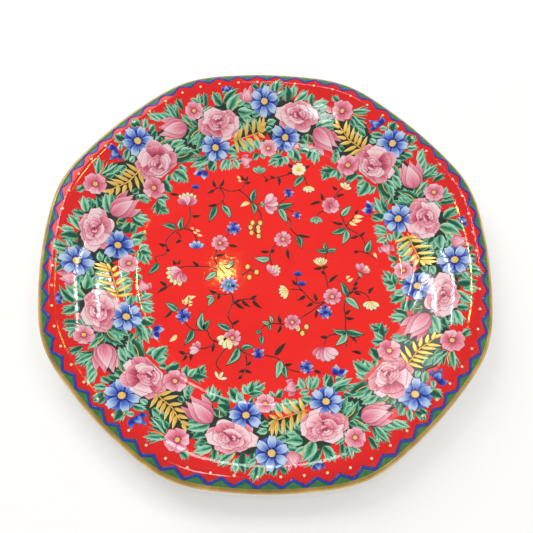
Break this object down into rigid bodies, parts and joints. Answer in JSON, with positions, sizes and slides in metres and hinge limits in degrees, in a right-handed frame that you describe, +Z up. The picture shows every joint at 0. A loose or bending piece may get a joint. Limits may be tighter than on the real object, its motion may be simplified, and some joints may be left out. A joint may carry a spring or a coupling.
{
  "type": "decorative plate",
  "caption": "Round porcelain plate with soft corners, a conical brim, a rolled gilt edge and a foot ring, printed with a flower wreath on a red ground.",
  "frame": {"origin": "on the plate's axis, in the plane of the foot ring's tread", "axes": "+Z up out of the plate's face; +X and +Y point at flats of the soft eight-cornered outline"},
  "size_m": [0.2137, 0.2137, 0.0184],
  "materials": {
    "porcelain": "white glazed hard porcelain, glossy",
    "bare_porcelain": "unglazed porcelain tread, matt",
    "red_glaze": "glossy orange-red ground",
    "gold_lustre": "burnished gold lustre, banded by hand",
    "printed_border": "glossy printed border: green triangles, cobalt zigzag and cream dots on red",
    "printed_flowers": "glossy printed wreath of green leaves, pink roses and tulips and blue flowers",
    "printed_field": "glossy red field printed with fine flower sprigs"
  },
  "bodies": {
    "root": {"porcelain_body": "porcelain", "foot_ring": "bare_porcelain", "red_ground": "red_glaze", "rim_gilding": "gold_lustre", "border_transfer_1": "printed_border", "border_transfer_2": "printed_border", "border_transfer_3": "printed_border", "border_transfer_4": "printed_border", "wreath_transfer_1": "printed_flowers", "wreath_transfer_2": "printed_flowers", "wreath_transfer_3": "printed_flowers", "wreath_transfer_4": "printed_flowers", "field_transfer": "printed_field"}
  },
  "joints": []
}
